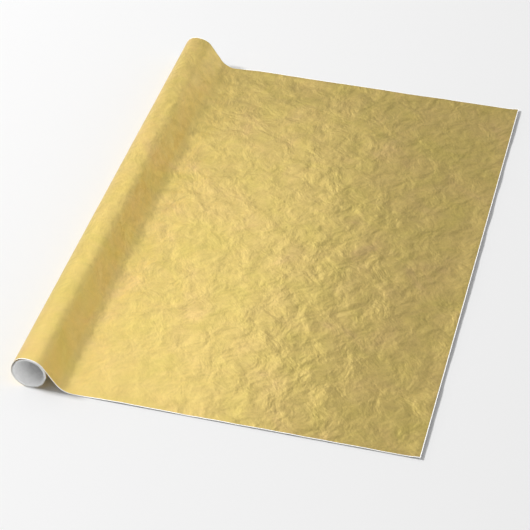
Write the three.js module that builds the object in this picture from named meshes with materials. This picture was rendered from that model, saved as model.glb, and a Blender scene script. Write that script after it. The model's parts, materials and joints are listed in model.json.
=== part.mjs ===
// A roll of gold foil gift wrap, partly unrolled on a table.
//
// The web is one long strip of white paper with a thin gold foil bonded to its outer face. From its free edge
// it lies flat, climbs a ramp to the top of the roll, goes once round as a loose outer turn, and is then wound
// tightly on a paperboard core, to which a strip of tape holds its inner end.
//
// Millimetres, +Z up. The roll's axis is along Y, and the sheet comes off the top of the roll towards +X.
// The origin is on the table, under the middle of the whole object.
import * as THREE from "three";

// ---- Driving dimensions ----

const webWidth = 762; // 30 in
const webLength = 1829; // 6 ft
const paperThickness = 0.07;
const foilThickness = 0.015;
const glueThickness = 0.01; // between paper and foil
const whiteBorder = 1; // bare paper between the foil and every cut edge

const rollRadius = 22.4; // over the loose outer turn
const reach = 490; // from the roll's axis to the free edge
const leavingAngle = THREE.MathUtils.degToRad(56); // past the top of the roll, where the web lifts off it
const landingRadius = 27; // of the bend where the ramp meets the table

const stripCount = 5; // hinged strips of the free end, which can curl up
const stripLength = 30;
const seam = 0.3; // between neighbouring stretches of the web

const packRadius = 21.75; // over the tight turns
const packDrop = 0.2; // the tight turns rest towards the lower right of the loose one, by this much each way
const turnPitch = 0.11; // one web and a little air
const packClearance = 0.3; // between the tight turns and the tail of the loose one

const coreClearance = 0.28; // between the tight turns and the core, where the tape is
const coreWall = 0.6;
const tapeThickness = 0.05;
const tapeWidth = 12;
const tapeEndGap = 30; // from each end of the core

const segmentsPerTurn = 32;
const coreSegments = 48;

// ---- Materials ----

const paper = new THREE.MeshStandardMaterial({ color: 0xf2f2f0, roughness: 0.8, metalness: 0 });
const foil = new THREE.MeshStandardMaterial({ color: 0xd4b45f, roughness: 0.38, metalness: 0.9 });
const board = new THREE.MeshStandardMaterial({ color: 0xdcdcd8, roughness: 0.9, metalness: 0 });
const clearTape = new THREE.MeshStandardMaterial({ color: 0xe9e4cf, roughness: 0.3, metalness: 0 });

// ---- The web's path ----
//
// A path is a list of stations in the (x, z) plane. Each holds a point on the paper's outer face and the
// direction from paper to foil.

function station(x, z, foilAngle) {
  return { x, z, nx: Math.cos(foilAngle), nz: Math.sin(foilAngle) };
}

// Stations round a centre, from one polar angle to another. radiusAt(share) may change along the way, and
// foilSide is 1 where the foil faces away from the centre and -1 where it faces the centre.
function bend(centre, radiusAt, from, to, foilSide = 1) {
  const steps = Math.max(2, Math.round((Math.abs(to - from) / (2 * Math.PI)) * segmentsPerTurn));
  return Array.from({ length: steps + 1 }, (_, i) => {
    const share = i / steps;
    const angle = from + (to - from) * share;
    const radius = radiusAt(share);
    const foilAngle = foilSide > 0 ? angle : angle + Math.PI;
    return station(centre.x + radius * Math.cos(angle), centre.z + radius * Math.sin(angle), foilAngle);
  });
}

const quarter = Math.PI / 2;
const rollCentre = { x: 0, z: rollRadius };
const facing = glueThickness + foilThickness; // what lies outside the paper
const wrapRadius = rollRadius - facing;
const leavingPolar = quarter - leavingAngle;

// Where the ramp leaves the roll, and how far it runs down before the landing bend begins.
const leaving = {
  x: rollCentre.x + wrapRadius * Math.cos(leavingPolar),
  z: rollCentre.z + wrapRadius * Math.sin(leavingPolar),
};
const landingTop = paperThickness + landingRadius * (1 - Math.cos(leavingAngle));
const rampLength = (leaving.z - landingTop) / Math.sin(leavingAngle);
const foot = leaving.x + rampLength * Math.cos(leavingAngle) + landingRadius * Math.sin(leavingAngle);

function risePath() {
  const landingCentre = { x: foot, z: paperThickness + landingRadius };
  return [
    ...bend(landingCentre, () => landingRadius, -quarter, -quarter - leavingAngle, -1),
    station(leaving.x, leaving.z, leavingPolar),
  ];
}

// The tight turns share an axis with the core. The loose turn ends just outside them, under the ramp.
const packCentre = { x: packDrop, z: rollRadius - packDrop };
const tailRadius = packRadius + facing + packClearance + paperThickness;

function wrapPath() {
  const from = leavingPolar + seam / wrapRadius;
  const bottom = 3 * quarter;
  const to = leavingPolar + 4 * quarter;
  const round = bend(rollCentre, () => wrapRadius, from, bottom);
  // From the bottom upwards, the loose turn closes in on the tight ones.
  const tail = bend({ x: 0, z: 0 }, () => 1, bottom, to).map((unit, i, all) => {
    const ease = THREE.MathUtils.smoothstep(i / (all.length - 1), 0, 1);
    const centreX = THREE.MathUtils.lerp(rollCentre.x, packCentre.x, ease);
    const centreZ = THREE.MathUtils.lerp(rollCentre.z, packCentre.z, ease);
    const radius = THREE.MathUtils.lerp(wrapRadius, tailRadius, ease);
    return { ...unit, x: centreX + radius * unit.nx, z: centreZ + radius * unit.nz };
  });
  return [...round, ...tail.slice(1)];
}

function flatPath(from, to) {
  return [station(to, paperThickness, quarter), station(from, paperThickness, quarter)];
}

// What is left of the web is wound on the core: turns * mean circumference = woundLength.
function pathLength(path) {
  return path.slice(1).reduce((sum, s, i) => sum + Math.hypot(s.x - path[i].x, s.z - path[i].z), 0);
}
const unwoundLength = reach - foot + pathLength(risePath()) + pathLength(wrapPath());
const woundLength = webLength - unwoundLength;
const exactTurns =
  (packRadius - Math.sqrt(packRadius ** 2 - (turnPitch * woundLength) / Math.PI)) / turnPitch;

// A whole number of segments, so that the corners of neighbouring turns line up and the turns never touch.
const turns = Math.round(exactTurns * segmentsPerTurn) / segmentsPerTurn;
const packInnerRadius = packRadius - turns * turnPitch;
const packStart = leavingPolar + seam / packRadius;
const packEnd = packStart + turns * 2 * Math.PI;

function packPath() {
  const radiusAt = (share) => THREE.MathUtils.lerp(packRadius, packInnerRadius, share);
  return bend(packCentre, radiusAt, packStart, packEnd);
}

// ---- Solids ----

// Turns a shape drawn in the (x, z) plane into a mesh that is `width` long and centred on y = 0.
function across(name, shape, width, material) {
  const geometry = new THREE.ExtrudeGeometry(shape, { depth: width, steps: 1, bevelEnabled: false });
  const mesh = new THREE.Mesh(geometry, material);
  mesh.name = name;
  mesh.rotation.x = quarter;
  mesh.position.y = width / 2;
  return mesh;
}

// The band between two offsets from a path, measured from paper towards foil.
function band(path, low, high) {
  const at = (offset) => path.map((s) => new THREE.Vector2(s.x + s.nx * offset, s.z + s.nz * offset));
  return new THREE.Shape([...at(low), ...at(high).reverse()]);
}

// One stretch of the web: its paper, and the foil on it.
function stretch(name, path, foilPath = path) {
  return [
    across(`${name}_paper`, band(path, -paperThickness, 0), webWidth, paper),
    across(`${name}_foil`, band(foilPath, glueThickness, facing), webWidth - 2 * whiteBorder, foil),
  ];
}

function ring(centre, outer, inner) {
  const circle = (radius) =>
    new THREE.Shape().absarc(centre.x, centre.z, radius, 0, 2 * Math.PI, false).getPoints(coreSegments);
  const shape = new THREE.Shape(circle(outer).slice(0, -1));
  shape.holes.push(new THREE.Path(circle(inner).slice(0, -1)));
  return shape;
}

const coreRadius = packInnerRadius - paperThickness - coreClearance;

function coreTube() {
  return across("core_tube", ring(packCentre, coreRadius, coreRadius - coreWall), webWidth, board);
}

// The tape lies between the core and the innermost turn, where that turn ends.
function coreTape() {
  const inner = coreRadius + (coreClearance - tapeThickness) / 2;
  const path = bend(packCentre, () => inner, packEnd, packEnd - tapeWidth / inner);
  return across("core_tape", band(path, 0, tapeThickness), webWidth - 2 * tapeEndGap, clearTape);
}

// ---- Assembly ----

const roll = new THREE.Group();
roll.add(coreTube(), coreTape());
roll.add(...stretch("wound_turns", packPath()));
roll.add(...stretch("outer_turn", wrapPath()));

const sheet = new THREE.Group();
const stripsFrom = reach - stripCount * stripLength;
const leadFrom = stripsFrom - stripLength;
sheet.add(...stretch("ramp", risePath()));
sheet.add(...stretch("flat_span", flatPath(foot + seam, leadFrom - seam)));
sheet.add(...stretch("lead_strip", flatPath(leadFrom, stripsFrom - seam)));
for (let i = 0; i < stripCount; i++) {
  const from = stripsFrom + i * stripLength;
  const last = i === stripCount - 1;
  const to = from + stripLength - (last ? 0 : seam);
  sheet.add(...stretch(`edge_strip_${i + 1}`, flatPath(from, to), flatPath(from, last ? to - whiteBorder : to)));
}

const wrap = new THREE.Group();
wrap.add(roll, sheet);
wrap.position.x = (rollRadius - reach) / 2;

export default wrap;
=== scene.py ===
import json
import math

import bpy
import numpy as np
from mathutils import Matrix, Vector, noise


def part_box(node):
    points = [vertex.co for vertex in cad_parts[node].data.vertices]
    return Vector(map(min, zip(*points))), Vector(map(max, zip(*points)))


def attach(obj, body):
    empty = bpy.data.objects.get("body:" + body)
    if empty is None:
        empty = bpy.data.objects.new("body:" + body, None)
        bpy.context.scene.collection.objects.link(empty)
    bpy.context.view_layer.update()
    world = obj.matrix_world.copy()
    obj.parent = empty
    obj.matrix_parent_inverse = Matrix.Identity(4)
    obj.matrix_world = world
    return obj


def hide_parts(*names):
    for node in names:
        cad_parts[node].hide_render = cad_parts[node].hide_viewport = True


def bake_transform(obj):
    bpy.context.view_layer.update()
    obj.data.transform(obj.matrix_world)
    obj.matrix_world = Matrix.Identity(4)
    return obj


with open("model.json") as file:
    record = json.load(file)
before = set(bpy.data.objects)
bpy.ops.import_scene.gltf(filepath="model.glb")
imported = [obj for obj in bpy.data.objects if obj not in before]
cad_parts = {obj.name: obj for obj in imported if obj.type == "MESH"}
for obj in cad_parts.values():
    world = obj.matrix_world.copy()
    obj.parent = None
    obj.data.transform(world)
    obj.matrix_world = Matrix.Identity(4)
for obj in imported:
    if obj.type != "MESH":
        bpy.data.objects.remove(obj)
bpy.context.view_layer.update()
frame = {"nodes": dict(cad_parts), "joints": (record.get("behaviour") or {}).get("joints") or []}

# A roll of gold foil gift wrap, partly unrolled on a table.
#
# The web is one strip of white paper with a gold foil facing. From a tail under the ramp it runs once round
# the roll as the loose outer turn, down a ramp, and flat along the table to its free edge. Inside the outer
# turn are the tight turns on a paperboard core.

MM = 0.001

# ---- Sizes from the frame ----

outer_low, outer_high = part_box("outer_turn_foil")
flat_paper_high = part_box("flat_span_paper")[1]
flat_foil_low, flat_foil_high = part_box("flat_span_foil")
pack_low, pack_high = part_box("wound_turns_foil")
core_low, core_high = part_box("core_tube")
last_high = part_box("edge_strip_5_paper")[1]

half_web = flat_paper_high.y
half_foil = flat_foil_high.y
border = half_web - half_foil  # of bare paper, at every cut edge
paper_thickness = flat_paper_high.z
glue = flat_foil_low.z - paper_thickness
facing = flat_foil_high.z - paper_thickness  # what lies outside the paper: glue and foil

roll_radius = outer_high.z / 2
roll_x = outer_low.x + roll_radius
wrap_radius = roll_radius - facing
core_radius = (core_high.z - core_low.z) / 2
core_x = (core_low.x + core_high.x) / 2
core_z = (core_low.z + core_high.z) / 2
pack_reach = max(pack_high.x - core_x, core_x - pack_low.x, pack_high.z - core_z, core_z - pack_low.z)
pack_radius = pack_reach - facing
free_edge = last_high.x

JOINTS = {joint["name"]: joint for joint in frame["joints"]}
HINGES = [JOINTS[f"edge_lift_{i}"] for i in range(1, 6)]

# ---- Sizes of this script's own ----

LEAVING_ANGLE = math.radians(56)  # past the top of the roll, where the web lifts off it
LANDING_RADIUS = 27 * MM  # of the bend where the ramp meets the table
TAIL_CLEARANCE = 0.3 * MM  # between the outer turn's tail and the tight turns
TURN_PITCH = 0.11 * MM  # from each tight turn to the next
CORE_CLEARANCE = 0.28 * MM  # between the tight turns and the core, where the tape is
CORE_WALL = 0.6 * MM
SEAM_PITCH = 95 * MM  # of the slanted seam of the core's plies
RAGGED = 0.3 * MM  # about how far a tight turn's edge is from flush

ROW_STEP = 2.4 * MM  # of the web's mesh, along its path
COLUMN_STEP = 2.9 * MM  # and across it
TURN_STEPS = 60  # of the tight turns' mesh, in each turn
CORE_STEPS = 96  # round the core's mesh
RIM_STEPS = 3  # round each corner of its wall

WAVES = (0.35 * MM, 90 * MM, 2)  # the sheet's slow waves: height, size and number of octaves
DENTS = (0.62 * MM, 38 * MM, 3)  # and the dents and ridges pressed into it
PULLED_SMOOTH = 0.84  # share of them that is gone on the roll
SETTLING = 20 * MM  # over what length they fade there
FREE_EDGE_LIFT = (2.2 * MM, 30 * MM)  # how far the free edge stands off the table, and over what width
SIDE_EDGE_LIFT = (1.1 * MM, 24 * MM)  # and the same for the two side edges
LYING = 40 * MM  # past the landing, where the edges have come to stand off
# Where the outer turn's ends stand off the tight turns: by how much, at which angle round the roll, how far
# round, and how far in from the end.
FLARE = (1.3 * MM, math.radians(120), math.radians(22), 40 * MM)

# ---- The web's path ----
#
# A path is a list of rows (along, x, z, foil_x, foil_z): the distance along the web from where it leaves the
# roll, a point on the paper's outer face, and the direction from paper to foil there.


def arc(along, centre, radius, start, end, foil_side=1):
    """Rows round a centre, from one polar angle to another. `foil_side` is -1 where the foil faces in."""
    length = abs(end - start) * radius
    steps = max(2, round(length / ROW_STEP))
    rows = []
    for i in range(steps + 1):
        angle = start + (end - start) * i / steps
        across, up = math.cos(angle), math.sin(angle)
        rows.append((along + length * i / steps, centre[0] + radius * across, centre[1] + radius * up,
                     foil_side * across, foil_side * up))
    return rows


def smooth(share):
    share = np.clip(share, 0, 1)
    return share * share * (3 - 2 * share)


LEAVING_POLAR = math.pi / 2 - LEAVING_ANGLE
ramp_top_x = roll_x + wrap_radius * math.cos(LEAVING_POLAR)
ramp_top_z = roll_radius + wrap_radius * math.sin(LEAVING_POLAR)
landing_top_z = paper_thickness + LANDING_RADIUS * (1 - math.cos(LEAVING_ANGLE))
ramp_length = (ramp_top_z - landing_top_z) / math.sin(LEAVING_ANGLE)
landing_x = ramp_top_x + ramp_length * math.cos(LEAVING_ANGLE) + LANDING_RADIUS * math.sin(LEAVING_ANGLE)


def wrap_rows():
    """The outer turn, from its tail, under the ramp, back to where the web leaves the roll."""
    tail_radius = pack_radius + facing + TAIL_CLEARANCE + paper_thickness
    steps = round(2 * math.pi * wrap_radius / ROW_STEP)
    rows = []
    for i in range(steps + 1):
        back = 2 * math.pi * i / steps
        angle = LEAVING_POLAR + back
        ease = smooth((angle - 1.5 * math.pi) / (2 * math.pi + LEAVING_POLAR - 1.5 * math.pi))
        x = roll_x + (core_x - roll_x) * ease
        z = roll_radius + (core_z - roll_radius) * ease
        radius = wrap_radius + (tail_radius - wrap_radius) * ease
        rows.append((-back * wrap_radius, x + radius * math.cos(angle), z + radius * math.sin(angle),
                     math.cos(angle), math.sin(angle)))
    return rows[::-1]


def ramp_rows():
    """From the roll down the straight ramp and round the landing bend to the table."""
    slope = (math.cos(LEAVING_ANGLE), -math.sin(LEAVING_ANGLE))
    foil = (math.cos(LEAVING_POLAR), math.sin(LEAVING_POLAR))
    steps = round(ramp_length / ROW_STEP)
    downs = [ramp_length * i / steps for i in range(1, steps)]
    straight = [(down, ramp_top_x + slope[0] * down, ramp_top_z + slope[1] * down, *foil) for down in downs]
    centre = (landing_x, paper_thickness + LANDING_RADIUS)
    return straight + arc(ramp_length, centre, LANDING_RADIUS, -math.pi / 2 - LEAVING_ANGLE, -math.pi / 2, -1)


def flat_rows(along, start, end):
    """On the table, after `start` and up to `end`."""
    steps = max(2, round((end - start) / ROW_STEP))
    gone = [(end - start) * i / steps for i in range(1, steps + 1)]
    return [(along + distance, start + distance, paper_thickness, 0.0, 1.0) for distance in gone]


def web_rows():
    """The whole web's rows, the row numbers where its stretches are cut, and the last row that has foil."""
    rows = wrap_rows() + ramp_rows()
    cuts = [0, len(rows) - 1]
    for hinge in HINGES:
        rows += flat_rows(rows[-1][0], rows[-1][1], hinge["pos_m"][0])
        cuts.append(len(rows) - 1)
    rows += flat_rows(rows[-1][0], rows[-1][1], free_edge - border)
    foil_end = len(rows) - 1
    rows.append((rows[-1][0] + border, free_edge, paper_thickness, 0.0, 1.0))
    cuts.append(len(rows) - 1)
    return np.array(rows), cuts, foil_end


# ---- Relief ----


def octaves(u, v, size, seed, count):
    """Smooth noise from about -1 to 1 whose widest bumps are `size` across."""
    total, weight = 0.0, 1.0
    for k in range(count):
        total += weight * noise.noise(Vector((u / size, v / size, seed + 7.3 * k)))
        size, weight = size / 2, weight * 0.5
    return total


def crumpling(along, y):
    """Slow waves of the sheet, and the dents and ridges pressed into it."""
    total = 0.0
    for (height, size, count), seed in ((WAVES, 2.1), (DENTS, 8.4)):
        total += max(0.0, height * (0.6 + octaves(along, y, size, seed, count)))
    return total


def lifted(distance, lift):
    """How far an edge that stands off the table has risen, at a distance from it."""
    height, width = lift
    return height * smooth(1 - distance / width) ** 1.5


def relief(path, y):
    """How far the web stands off its path, on every row and column."""
    along, x, z, foil_x, foil_z = path.T
    height = np.array([[crumpling(a, b) for b in y] for a in along])

    # On the roll the web is pulled smooth, and its tail lies close to the tight turns.
    on_roll = smooth(-along / SETTLING)
    tail = smooth((-along - 1.5 * math.pi * wrap_radius) / SETTLING)
    height *= ((1 - PULLED_SMOOTH * on_roll) * (1 - tail))[:, None]

    end_height, end_angle, end_spread, end_reach = FLARE
    round_roll = np.exp(-((np.arctan2(foil_z, foil_x) - end_angle) / end_spread) ** 2) * (along < 0)
    from_end = half_web - np.abs(y)
    height += end_height * round_roll[:, None] * smooth(1 - from_end / end_reach)[None, :]

    lying = smooth((x - landing_x) / LYING) * (foil_z > 0.999)
    free_lift = lifted(free_edge - x, FREE_EDGE_LIFT)[:, None]
    side_lift = lifted(from_end, SIDE_EDGE_LIFT)[None, :]
    height += lying[:, None] * np.maximum(free_lift, side_lift)

    # Under the roll there is no room between the foil and the table.
    down = np.maximum(-foil_z, 0.01)
    room = np.where(foil_z < -0.01, z / down - facing, np.inf)
    return np.minimum(height, room[:, None])


def web_grid():
    """The web's points and normals, its cuts, its last foil row, and the rows' distances along."""
    path, cuts, foil_end = web_rows()
    columns = round(2 * half_foil / COLUMN_STEP)
    y = np.linspace(-half_foil, half_foil, columns + 1)
    y = np.concatenate([[-half_web], y, [half_web]])
    height = relief(path, y)
    points = np.empty((len(path), len(y), 3))
    points[..., 0] = path[:, 1, None] + path[:, 3, None] * height
    points[..., 1] = y[None, :]
    points[..., 2] = path[:, 2, None] + path[:, 4, None] * height
    normals = np.cross(np.gradient(points, path[:, 0], axis=0), np.gradient(points, y, axis=1))
    normals /= np.linalg.norm(normals, axis=2, keepdims=True)
    return points, normals, cuts, foil_end, path[:, 0]


# ---- Meshes ----


def slab(name, points, normals, low, high):
    """A closed thin solid between two offsets from a grid of points, shaded with the grid's own normals."""
    rows, columns = points.shape[:2]
    top = (points + normals * high).reshape(-1, 3)
    bottom = (points + normals * low).reshape(-1, 3)
    count = rows * columns
    index = np.arange(count).reshape(rows, columns)
    a, b, c, d = index[:-1, :-1], index[1:, :-1], index[1:, 1:], index[:-1, 1:]
    upper = np.stack([a, b, c, d], axis=-1).reshape(-1, 4)
    lower = upper[:, ::-1] + count
    rims = []
    for rim in (index[0, :], index[:, -1], index[-1, ::-1], index[::-1, 0]):
        p, q = rim[:-1], rim[1:]
        rims.append(np.stack([p, q, q + count, p + count], axis=-1))
    walls = np.concatenate(rims)
    faces = np.concatenate([upper, lower, walls])

    mesh = bpy.data.meshes.new(name)
    mesh.from_pydata(np.concatenate([top, bottom]).tolist(), [], faces.tolist())
    mesh.update()
    mesh.polygons.foreach_set("use_smooth", np.ones(len(faces), bool))
    flat = normals.reshape(-1, 3)
    wall_normals = np.zeros((len(walls) * 4, 3))  # a zero leaves Blender's own
    loops = np.concatenate([flat[upper.ravel()], -flat[lower.ravel() - count], wall_normals])
    mesh.normals_split_custom_set(loops.tolist())
    piece = bpy.data.objects.new(name, mesh)
    bpy.context.scene.collection.objects.link(piece)
    return piece


def dress(piece, material):
    piece.data.materials.append(material)


# ---- Materials ----

MOTTLE_OFFSET = (3.1, 1.7, 0.9)  # so that the mottling doesn't follow the dents
UPHILL = (1.1 * MM, -0.8 * MM, 0.0)  # the way a dent's side rises where it faces the light; such sides get a painted highlight in the base colour
DENT_DEPTH = 3.6 * MM
PAINTED_SLOPE_SHADE = 1.65  # how strong the painted highlight and painted shade on the dents' sides are in the base colour
MOTTLE_SHADING = 0.6  # and how much the mottling adds to that
BRIGHTNESS = (0.98, 1.09)  # of the factor on the gold's base colour (painted slope shade plus mottling), in the middle and at most
# How dented the web is at the near end of the roll, how far from there the dents begin to deepen, and how far
# away they are full.
NEAR_WEAR = (0.3, 50 * MM, 350 * MM)
ROLL_WEAR = (0.7, 20 * MM, 70 * MM)  # and the same on the roll, by the distance from its axis
ROLL_ROUGHER = 0.07  # how much rougher the foil is on the roll


class Nodes:
    """A new material with a Principled shader, and short calls for the nodes that feed it."""

    def __init__(self, name):
        self.material = bpy.data.materials.new(name)
        self.material.use_nodes = True
        self.tree = self.material.node_tree
        self.shader = self.tree.nodes["Principled BSDF"]
        self.place = self.tree.nodes.new("ShaderNodeTexCoord").outputs["Object"]

    def link(self, source, socket):
        self.tree.links.new(source, socket)

    def moved(self, by):
        node = self.tree.nodes.new("ShaderNodeMapping")
        node.inputs["Location"].default_value = by
        self.link(self.place, node.inputs["Vector"])
        return node.outputs["Vector"]

    def noise(self, size, detail=3.0, roughness=0.5, distortion=0.0, kind="FBM", place=None):
        node = self.tree.nodes.new("ShaderNodeTexNoise")
        node.noise_type = kind
        node.normalize = True
        node.inputs["Scale"].default_value = 1 / size
        node.inputs["Detail"].default_value = detail
        node.inputs["Roughness"].default_value = roughness
        node.inputs["Distortion"].default_value = distortion
        self.link(place or self.place, node.inputs["Vector"])
        return node.outputs["Fac"]

    def ramp(self, value, stops):
        node = self.tree.nodes.new("ShaderNodeValToRGB")
        elements = node.color_ramp.elements
        while len(elements) < len(stops):
            elements.new(0.5)
        for element, (position, color) in zip(elements, stops):
            element.position = position
            element.color = (*color, 1)
        self.link(value, node.inputs["Fac"])
        return node.outputs["Color"]

    def range(self, value, low, high, from_low=0.0, from_high=1.0):
        node = self.tree.nodes.new("ShaderNodeMapRange")
        node.inputs["From Min"].default_value = from_low
        node.inputs["From Max"].default_value = from_high
        node.inputs["To Min"].default_value = low
        node.inputs["To Max"].default_value = high
        self.link(value, node.inputs["Value"])
        return node.outputs["Result"]

    def math(self, operation, *values):
        node = self.tree.nodes.new("ShaderNodeMath")
        node.operation = operation
        for socket, value in zip(node.inputs, values):
            if isinstance(value, (int, float)):
                socket.default_value = value
            else:
                self.link(value, socket)
        return node.outputs["Value"]

    def shade(self, color, factor):
        """A color times a grey factor."""
        node = self.tree.nodes.new("ShaderNodeMix")
        node.data_type = "RGBA"
        node.blend_type = "MULTIPLY"
        node.inputs["Factor"].default_value = 1.0
        self.link(color, node.inputs[6])
        self.link(factor, node.inputs[7])
        return node.outputs[2]

    def bump(self, height, distance, under=None):
        node = self.tree.nodes.new("ShaderNodeBump")
        node.inputs["Strength"].default_value = 1.0
        node.inputs["Distance"].default_value = distance
        self.link(height, node.inputs["Height"])
        if under:
            self.link(under, node.inputs["Normal"])
        return node.outputs["Normal"]


def gold_foil():
    """Dented metal foil: cloudy gold with a satin sheen; the dents' sides get painted highlight and painted
    shade in the base colour.
    """
    n = Nodes("gold_foil")
    n.shader.inputs["Metallic"].default_value = 1.0
    clouds = n.noise(70 * MM, detail=4, roughness=0.6, distortion=0.6)
    gold = n.ramp(clouds, [(0.32, (0.85, 0.675, 0.205)), (0.46, (0.88, 0.68, 0.225)),
                           (0.60, (0.895, 0.675, 0.24)), (0.72, (0.91, 0.66, 0.265))])

    def dents_at(way):
        place = n.moved([way * step for step in UPHILL])
        return n.noise(30 * MM, detail=6, roughness=0.55, distortion=0.4, place=place)

    dents, rising, falling = dents_at(0), dents_at(1), dents_at(-1)
    mottle = n.noise(20 * MM, detail=5, roughness=0.93, distortion=0.4, place=n.moved(MOTTLE_OFFSET))

    # The web is smoothest beside the near end of the roll, and smoother on the roll than off it.
    split = n.tree.nodes.new("ShaderNodeSeparateXYZ")
    n.link(n.place, split.inputs["Vector"])
    beyond_near = n.math("SUBTRACT", split.outputs["Y"], -half_web)
    beyond_roll = n.math("SUBTRACT", split.outputs["X"], roll_x)
    away = n.math("ADD", n.math("MULTIPLY", beyond_near, 1.1), beyond_roll)
    (near_share, *near_reach), (roll_share, *roll_reach) = NEAR_WEAR, ROLL_WEAR
    dented = n.math("MULTIPLY", n.range(away, near_share, 1.0, *near_reach),
                    n.range(beyond_roll, roll_share, 1.0, *roll_reach))

    # Painted shade: the base colour is made brighter on dent sides that face the light from the left, and
    # darker on those facing away.
    painted_slope_shade = n.math("MULTIPLY", n.math("SUBTRACT", rising, falling), PAINTED_SLOPE_SHADE)
    mottling = n.math("MULTIPLY", n.math("SUBTRACT", mottle, 0.5), MOTTLE_SHADING)
    painted_shade_and_mottle = n.math("MULTIPLY", n.math("ADD", painted_slope_shade, mottling), dented)
    middle, most = BRIGHTNESS
    brightness = n.math("MINIMUM", n.math("ADD", painted_shade_and_mottle, middle), most)
    n.link(n.shade(gold, brightness), n.shader.inputs["Base Color"])

    sheen = n.range(n.noise(22 * MM, detail=3), 0.36, 0.46, 0.3, 0.7)
    rougher = n.range(beyond_roll, ROLL_ROUGHER, 0.0, *roll_reach)
    n.link(n.math("ADD", sheen, rougher), n.shader.inputs["Roughness"])

    depth = n.math("MULTIPLY", n.range(n.noise(110 * MM, detail=2), 0.75, 1.2, 0.35, 0.65), dented)
    n.link(n.bump(n.math("MULTIPLY", dents, depth), DENT_DEPTH), n.shader.inputs["Normal"])
    return n.material


def white_paper():
    """Uncoated paper: faint clouds of fibre and a soft tooth."""
    n = Nodes("white_paper")
    n.link(n.ramp(n.noise(9 * MM, detail=5), [(0.3, (0.90, 0.90, 0.89)), (0.7, (0.96, 0.96, 0.955))]),
           n.shader.inputs["Base Color"])
    n.link(n.range(n.noise(3 * MM, detail=3), 0.68, 0.85, 0.3, 0.7), n.shader.inputs["Roughness"])
    n.link(n.bump(n.noise(0.8 * MM, detail=4), 0.05 * MM), n.shader.inputs["Normal"])
    return n.material


def core_board():
    """White-lined board wound on a slant, with the line where its plies meet."""
    n = Nodes("core_board")
    split = n.tree.nodes.new("ShaderNodeSeparateXYZ")
    n.link(n.place, split.inputs["Vector"])
    turn = n.math("ARCTAN2", n.math("SUBTRACT", split.outputs["Z"], core_z),
                  n.math("SUBTRACT", split.outputs["X"], core_x))
    slant = n.math("ADD", n.math("DIVIDE", turn, 2 * math.pi),
                   n.math("DIVIDE", split.outputs["Y"], SEAM_PITCH))
    from_seam = n.math("PINGPONG", slant, 0.5)
    ply = n.range(from_seam, 0.0, 1.0, 0.0, 0.008)
    board = n.ramp(n.noise(4 * MM, detail=5), [(0.3, (0.80, 0.80, 0.80)), (0.7, (0.88, 0.88, 0.875))])
    n.link(n.shade(board, n.range(ply, 0.9, 1.0)), n.shader.inputs["Base Color"])
    n.link(n.range(n.noise(3 * MM), 0.75, 0.9, 0.3, 0.7), n.shader.inputs["Roughness"])
    fibre = n.bump(n.noise(1.2 * MM, detail=4), 0.06 * MM)
    n.link(n.bump(ply, 0.05 * MM, fibre), n.shader.inputs["Normal"])
    return n.material


def clear_tape():
    """Glossy yellowish tape."""
    n = Nodes("clear_tape")
    n.link(n.ramp(n.noise(6 * MM), [(0.3, (0.85, 0.82, 0.72)), (0.7, (0.92, 0.90, 0.82))]),
           n.shader.inputs["Base Color"])
    n.link(n.range(n.noise(8 * MM), 0.15, 0.3, 0.3, 0.7), n.shader.inputs["Roughness"])
    n.link(n.bump(n.noise(5 * MM, detail=2), 0.05 * MM), n.shader.inputs["Normal"])
    return n.material


# ---- Pieces ----


def web_pieces(foil, paper):
    """The web in one piece for each stretch between cuts."""
    points, normals, cuts, foil_end, along = web_grid()
    stretches = [("web_at_roll", ["outer_turn", "ramp"]), ("flat_sheet", ["flat_span", "lead_strip"])]
    stretches += [(f"free_end_{i}", [f"edge_strip_{i}"]) for i in range(1, len(HINGES) + 1)]
    for i, (name, nodes) in enumerate(stretches):
        rows = slice(cuts[i], cuts[i + 1] + 1)
        foil_rows = slice(cuts[i], min(cuts[i + 1], foil_end) + 1)
        base = slab(f"{name}_paper", points[rows], normals[rows], -paper_thickness, 0)
        face = slab(f"{name}_foil", points[foil_rows, 1:-1], normals[foil_rows, 1:-1], glue, facing)
        dress(base, paper)
        dress(face, foil)
        for piece, kind in ((base, "paper"), (face, "foil")):
            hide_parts(*[f"{node}_{kind}" for node in nodes])
            if i == 0:
                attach(piece, "web_at_roll")
            elif i == 1:
                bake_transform(piece)
            else:
                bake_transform(piece)


def tight_turns(foil, paper):
    """The spiral of tight turns, whose edges are not quite flush."""
    inner_radius = core_radius + CORE_CLEARANCE + paper_thickness
    turns = round((pack_radius - inner_radius) / TURN_PITCH)
    steps = round(turns * TURN_STEPS)
    points = np.empty((steps + 1, 2, 3))
    normals = np.zeros((steps + 1, 2, 3))
    for i in range(steps + 1):
        share = i / steps
        angle = LEAVING_POLAR + turns * 2 * math.pi * share
        radius = pack_radius + (inner_radius - pack_radius) * share
        across, up = math.cos(angle), math.sin(angle)
        for side, sign in ((0, -1), (1, 1)):
            shy = RAGGED * (1 + noise.noise(Vector((share * turns, sign * 4.0, 1.7))))
            points[i, side] = (core_x + radius * across, sign * (half_web - shy), core_z + radius * up)
            normals[i, side] = (across, 0, up)
    points, normals = points[::-1], normals[::-1]
    base = slab("tight_turns_paper", points, normals, -paper_thickness, 0)
    narrower = points.copy()
    narrower[..., 1] *= half_foil / half_web
    face = slab("tight_turns_foil", narrower, normals, glue, facing)
    dress(base, paper)
    dress(face, foil)
    for piece, kind in ((base, "paper"), (face, "foil")):
        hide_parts(f"wound_turns_{kind}")
        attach(piece, "wound_roll")


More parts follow.
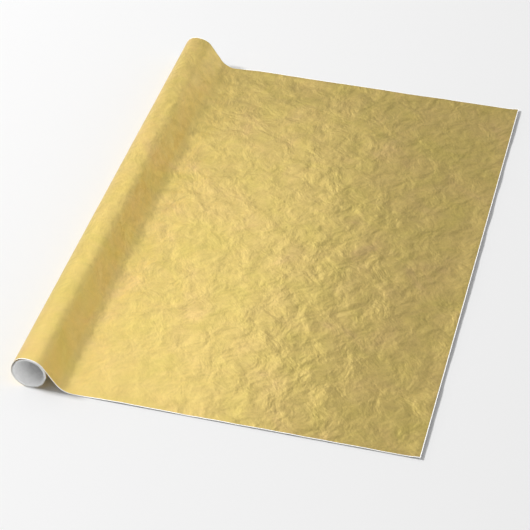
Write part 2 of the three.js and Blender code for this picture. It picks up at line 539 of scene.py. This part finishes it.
def core(board):
    """The core's tube, with softened rims."""
    round_off = CORE_WALL / 3
    quarter = math.pi / 2
    inner_radius = core_radius - CORE_WALL
    # Each corner of the wall's section, and the way from it to the middle of its rounding.
    corners = [(core_radius, -half_web, -1, 1), (core_radius, half_web, -1, -1),
               (inner_radius, half_web, 1, -1), (inner_radius, -half_web, 1, 1)]
    profile = []
    for k, (radius, y, inward, along) in enumerate(corners):
        for j in range(RIM_STEPS + 1):
            turn = -quarter * (1 - j / RIM_STEPS) + quarter * k
            profile.append((radius + inward * round_off + round_off * math.cos(turn),
                            y + along * round_off + round_off * math.sin(turn)))
    verts, faces = [], []
    size = len(profile)
    for i in range(CORE_STEPS):
        angle = 2 * math.pi * i / CORE_STEPS
        verts += [(core_x + r * math.cos(angle), y, core_z + r * math.sin(angle)) for r, y in profile]
        this, after = i * size, (i + 1) % CORE_STEPS * size
        for j in range(size):
            following = (j + 1) % size
            faces.append((this + j, this + following, after + following, after + j))
    mesh = bpy.data.meshes.new("core")
    mesh.from_pydata(verts, [], faces)
    mesh.update()
    mesh.polygons.foreach_set("use_smooth", np.ones(len(faces), bool))
    piece = bpy.data.objects.new("core", mesh)
    bpy.context.scene.collection.objects.link(piece)
    dress(piece, board)
    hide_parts("core_tube")
    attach(piece, "wound_roll")


foil_material = gold_foil()
paper_material = white_paper()
web_pieces(foil_material, paper_material)
tight_turns(foil_material, paper_material)
core(core_board())
tape = frame["nodes"]["core_tape"]
tape.data.materials.clear()
tape.data.materials.append(clear_tape())

# ---- Stage, light and camera ----

HALF_FLOOR = 6.5
ROOM = 0.43  # brightness of the room behind the roll
ROOM_LEFT = 0.63  # how much more there is on the left
ROOM_LOW_RIGHT = 0.32  # and low down on the right
ROOM_FRONT = 0.45  # and what share of it all there is in front


def floor():
    """A matt white table top."""
    mesh = bpy.data.meshes.new("floor")
    corners = [(x * HALF_FLOOR, y * HALF_FLOOR, 0) for x, y in ((-1, -1), (1, -1), (1, 1), (-1, 1))]
    mesh.from_pydata(corners, [], [(0, 1, 2, 3)])
    plane = bpy.data.objects.new("floor", mesh)
    plane.location.z = -0.05 * MM
    bpy.context.scene.collection.objects.link(plane)
    n = Nodes("floor")
    n.shader.inputs["Base Color"].default_value = (0.93, 0.93, 0.93, 1)
    n.shader.inputs["Roughness"].default_value = 0.9
    n.shader.inputs["Specular IOR Level"].default_value = 0.1
    mesh.materials.append(n.material)
    return plane


def softbox(name, place, target, size, power, seen=True, mirrored=True):
    """A rectangular lamp. It can be left out of what the camera sees, or of reflections."""
    light = bpy.data.lights.new(name, "AREA")
    light.shape = "RECTANGLE"
    light.size, light.size_y = size
    light.energy = power
    lamp = bpy.data.objects.new(name, light)
    lamp.location = place
    lamp.rotation_mode = "QUATERNION"
    lamp.rotation_quaternion = (Vector(target) - Vector(place)).to_track_quat("-Z", "Y")
    lamp.visible_camera = seen
    lamp.visible_glossy = mirrored
    bpy.context.scene.collection.objects.link(lamp)
    return lamp


def spare(lamp, thing):
    """Keeps a lamp's light off one thing, which still gets the other lamps' light."""
    unlit = bpy.data.collections.new(f"unlit_by_{lamp.name}")
    unlit.objects.link(thing)
    unlit.collection_objects[0].light_linking.link_state = "EXCLUDE"
    lamp.light_linking.receiver_collection = unlit


def surroundings():
    """A pale room: brighter on the roll's side, a little brighter low down on the other, and dim in front."""
    world = bpy.data.worlds.new("room")
    world.use_nodes = True
    tree = world.node_tree
    place = tree.nodes.new("ShaderNodeTexCoord")
    split = tree.nodes.new("ShaderNodeSeparateXYZ")
    tree.links.new(place.outputs["Generated"], split.inputs["Vector"])

    def fade(axis, dark, bright, high, low=0.0):
        node = tree.nodes.new("ShaderNodeMapRange")
        node.interpolation_type = "SMOOTHSTEP"
        node.inputs["From Min"].default_value = dark
        node.inputs["From Max"].default_value = bright
        node.inputs["To Min"].default_value = low
        node.inputs["To Max"].default_value = high
        tree.links.new(split.outputs[axis], node.inputs["Value"])
        return node.outputs["Result"]

    def combine(operation, a, b):
        node = tree.nodes.new("ShaderNodeMath")
        node.operation = operation
        for socket, value in zip(node.inputs, (a, b)):
            if isinstance(value, float):
                socket.default_value = value
            else:
                tree.links.new(value, socket)
        return node.outputs["Value"]

    left = fade("X", -0.18, -0.93, ROOM_LEFT)
    low_right = combine("MULTIPLY", fade("X", 0.14, 0.86, ROOM_LOW_RIGHT), fade("Z", 0.9, 0.0, 1.0))
    background = tree.nodes["Background"]
    background.inputs["Color"].default_value = (1, 1, 1, 1)
    sides = combine("ADD", combine("ADD", left, low_right), ROOM)
    strength = combine("MULTIPLY", sides, fade("Y", -0.5, 0.0, 1.0, ROOM_FRONT))
    tree.links.new(strength, background.inputs["Strength"])
    bpy.context.scene.world = world


def camera():
    """A view from in front and above, a little to the right, with a long lens."""
    azimuth, elevation, roll = (math.radians(a) for a in (14.0, 38.56, 0.78))
    distance = 2.631
    target = Vector((-0.0141, -0.0711, 0))
    back = Vector((math.sin(azimuth) * math.cos(elevation), -math.cos(azimuth) * math.cos(elevation),
                   math.sin(elevation)))
    right = Vector((0, 0, 1)).cross(back).normalized()
    up = back.cross(right)
    data = bpy.data.cameras.new("camera")
    data.lens = 134.35
    data.sensor_width = 36
    data.clip_end = 100
    eye = bpy.data.objects.new("camera", data)
    turned_right = right * math.cos(roll) + up * math.sin(roll)
    turned_up = up * math.cos(roll) - right * math.sin(roll)
    eye.matrix_world = Matrix.Translation(target + back * distance) @ Matrix(
        (turned_right, turned_up, back)).transposed().to_4x4()
    bpy.context.scene.collection.objects.link(eye)
    bpy.context.scene.camera = eye


ground = floor()
surroundings()
spare(softbox("overhead", (0.3, -0.6, 3.0), (0, 0, 0), (3.0, 3.0), 14), ground)
softbox("key", (-6.4, 0.0, 4.6), (0.1, 0, 0), (1.0, 1.0), 532, mirrored=False)
spare(softbox("front_right", (1.3, -2.0, 0.9), (-0.1, -0.3, 0), (1.5, 1.5), 19), ground)
spare(softbox("over_roll", (-0.30, 0.0, 0.30), (-0.30, 0.0, 0), (0.58, 1.26), 1.19, seen=False), ground)
camera()
bpy.context.scene.view_settings.view_transform = "Standard"
